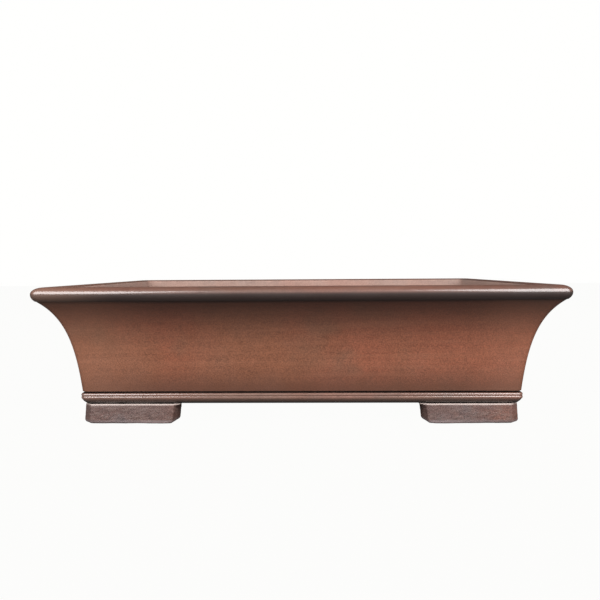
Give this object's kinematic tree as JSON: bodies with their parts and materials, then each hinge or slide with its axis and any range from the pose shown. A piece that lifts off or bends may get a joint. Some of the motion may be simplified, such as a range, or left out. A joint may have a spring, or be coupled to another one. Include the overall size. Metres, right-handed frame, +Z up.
{
  "type": "bonsai pot",
  "caption": "Rectangular unglazed clay bonsai pot with an outcurved lip, coved sides, a belt strip at the base, drainage holes and cut corner feet.",
  "frame": {"origin": "centre of the plan, on the plane that the feet stand on", "axes": "+X along the length of the pot, -Y towards the front face, +Z up"},
  "size_m": [0.4, 0.29, 0.1085],
  "materials": {
    "wall_clay": "satin unglazed, purple-brown",
    "foot_clay": "matte unglazed, tooled, greyer purple-brown",
    "inner_clay": "matte unglazed, paler and rougher"
  },
  "bodies": {
    "root": {"floor_slab": "inner_clay", "wall_front": "wall_clay", "wall_back": "wall_clay", "wall_left": "wall_clay", "wall_right": "wall_clay", "lip_front": "wall_clay", "lip_back": "wall_clay", "lip_left": "wall_clay", "lip_right": "wall_clay", "belt_front": "wall_clay", "belt_back": "wall_clay", "belt_left": "wall_clay", "belt_right": "wall_clay", "floor_coil_front": "inner_clay", "floor_coil_back": "inner_clay", "floor_coil_left": "inner_clay", "floor_coil_right": "inner_clay", "corner_coil_front_left": "inner_clay", "corner_coil_front_right": "inner_clay", "corner_coil_back_left": "inner_clay", "corner_coil_back_right": "inner_clay", "foot_front_left": "foot_clay", "foot_front_right": "foot_clay", "foot_back_left": "foot_clay", "foot_back_right": "foot_clay"}
  },
  "joints": []
}
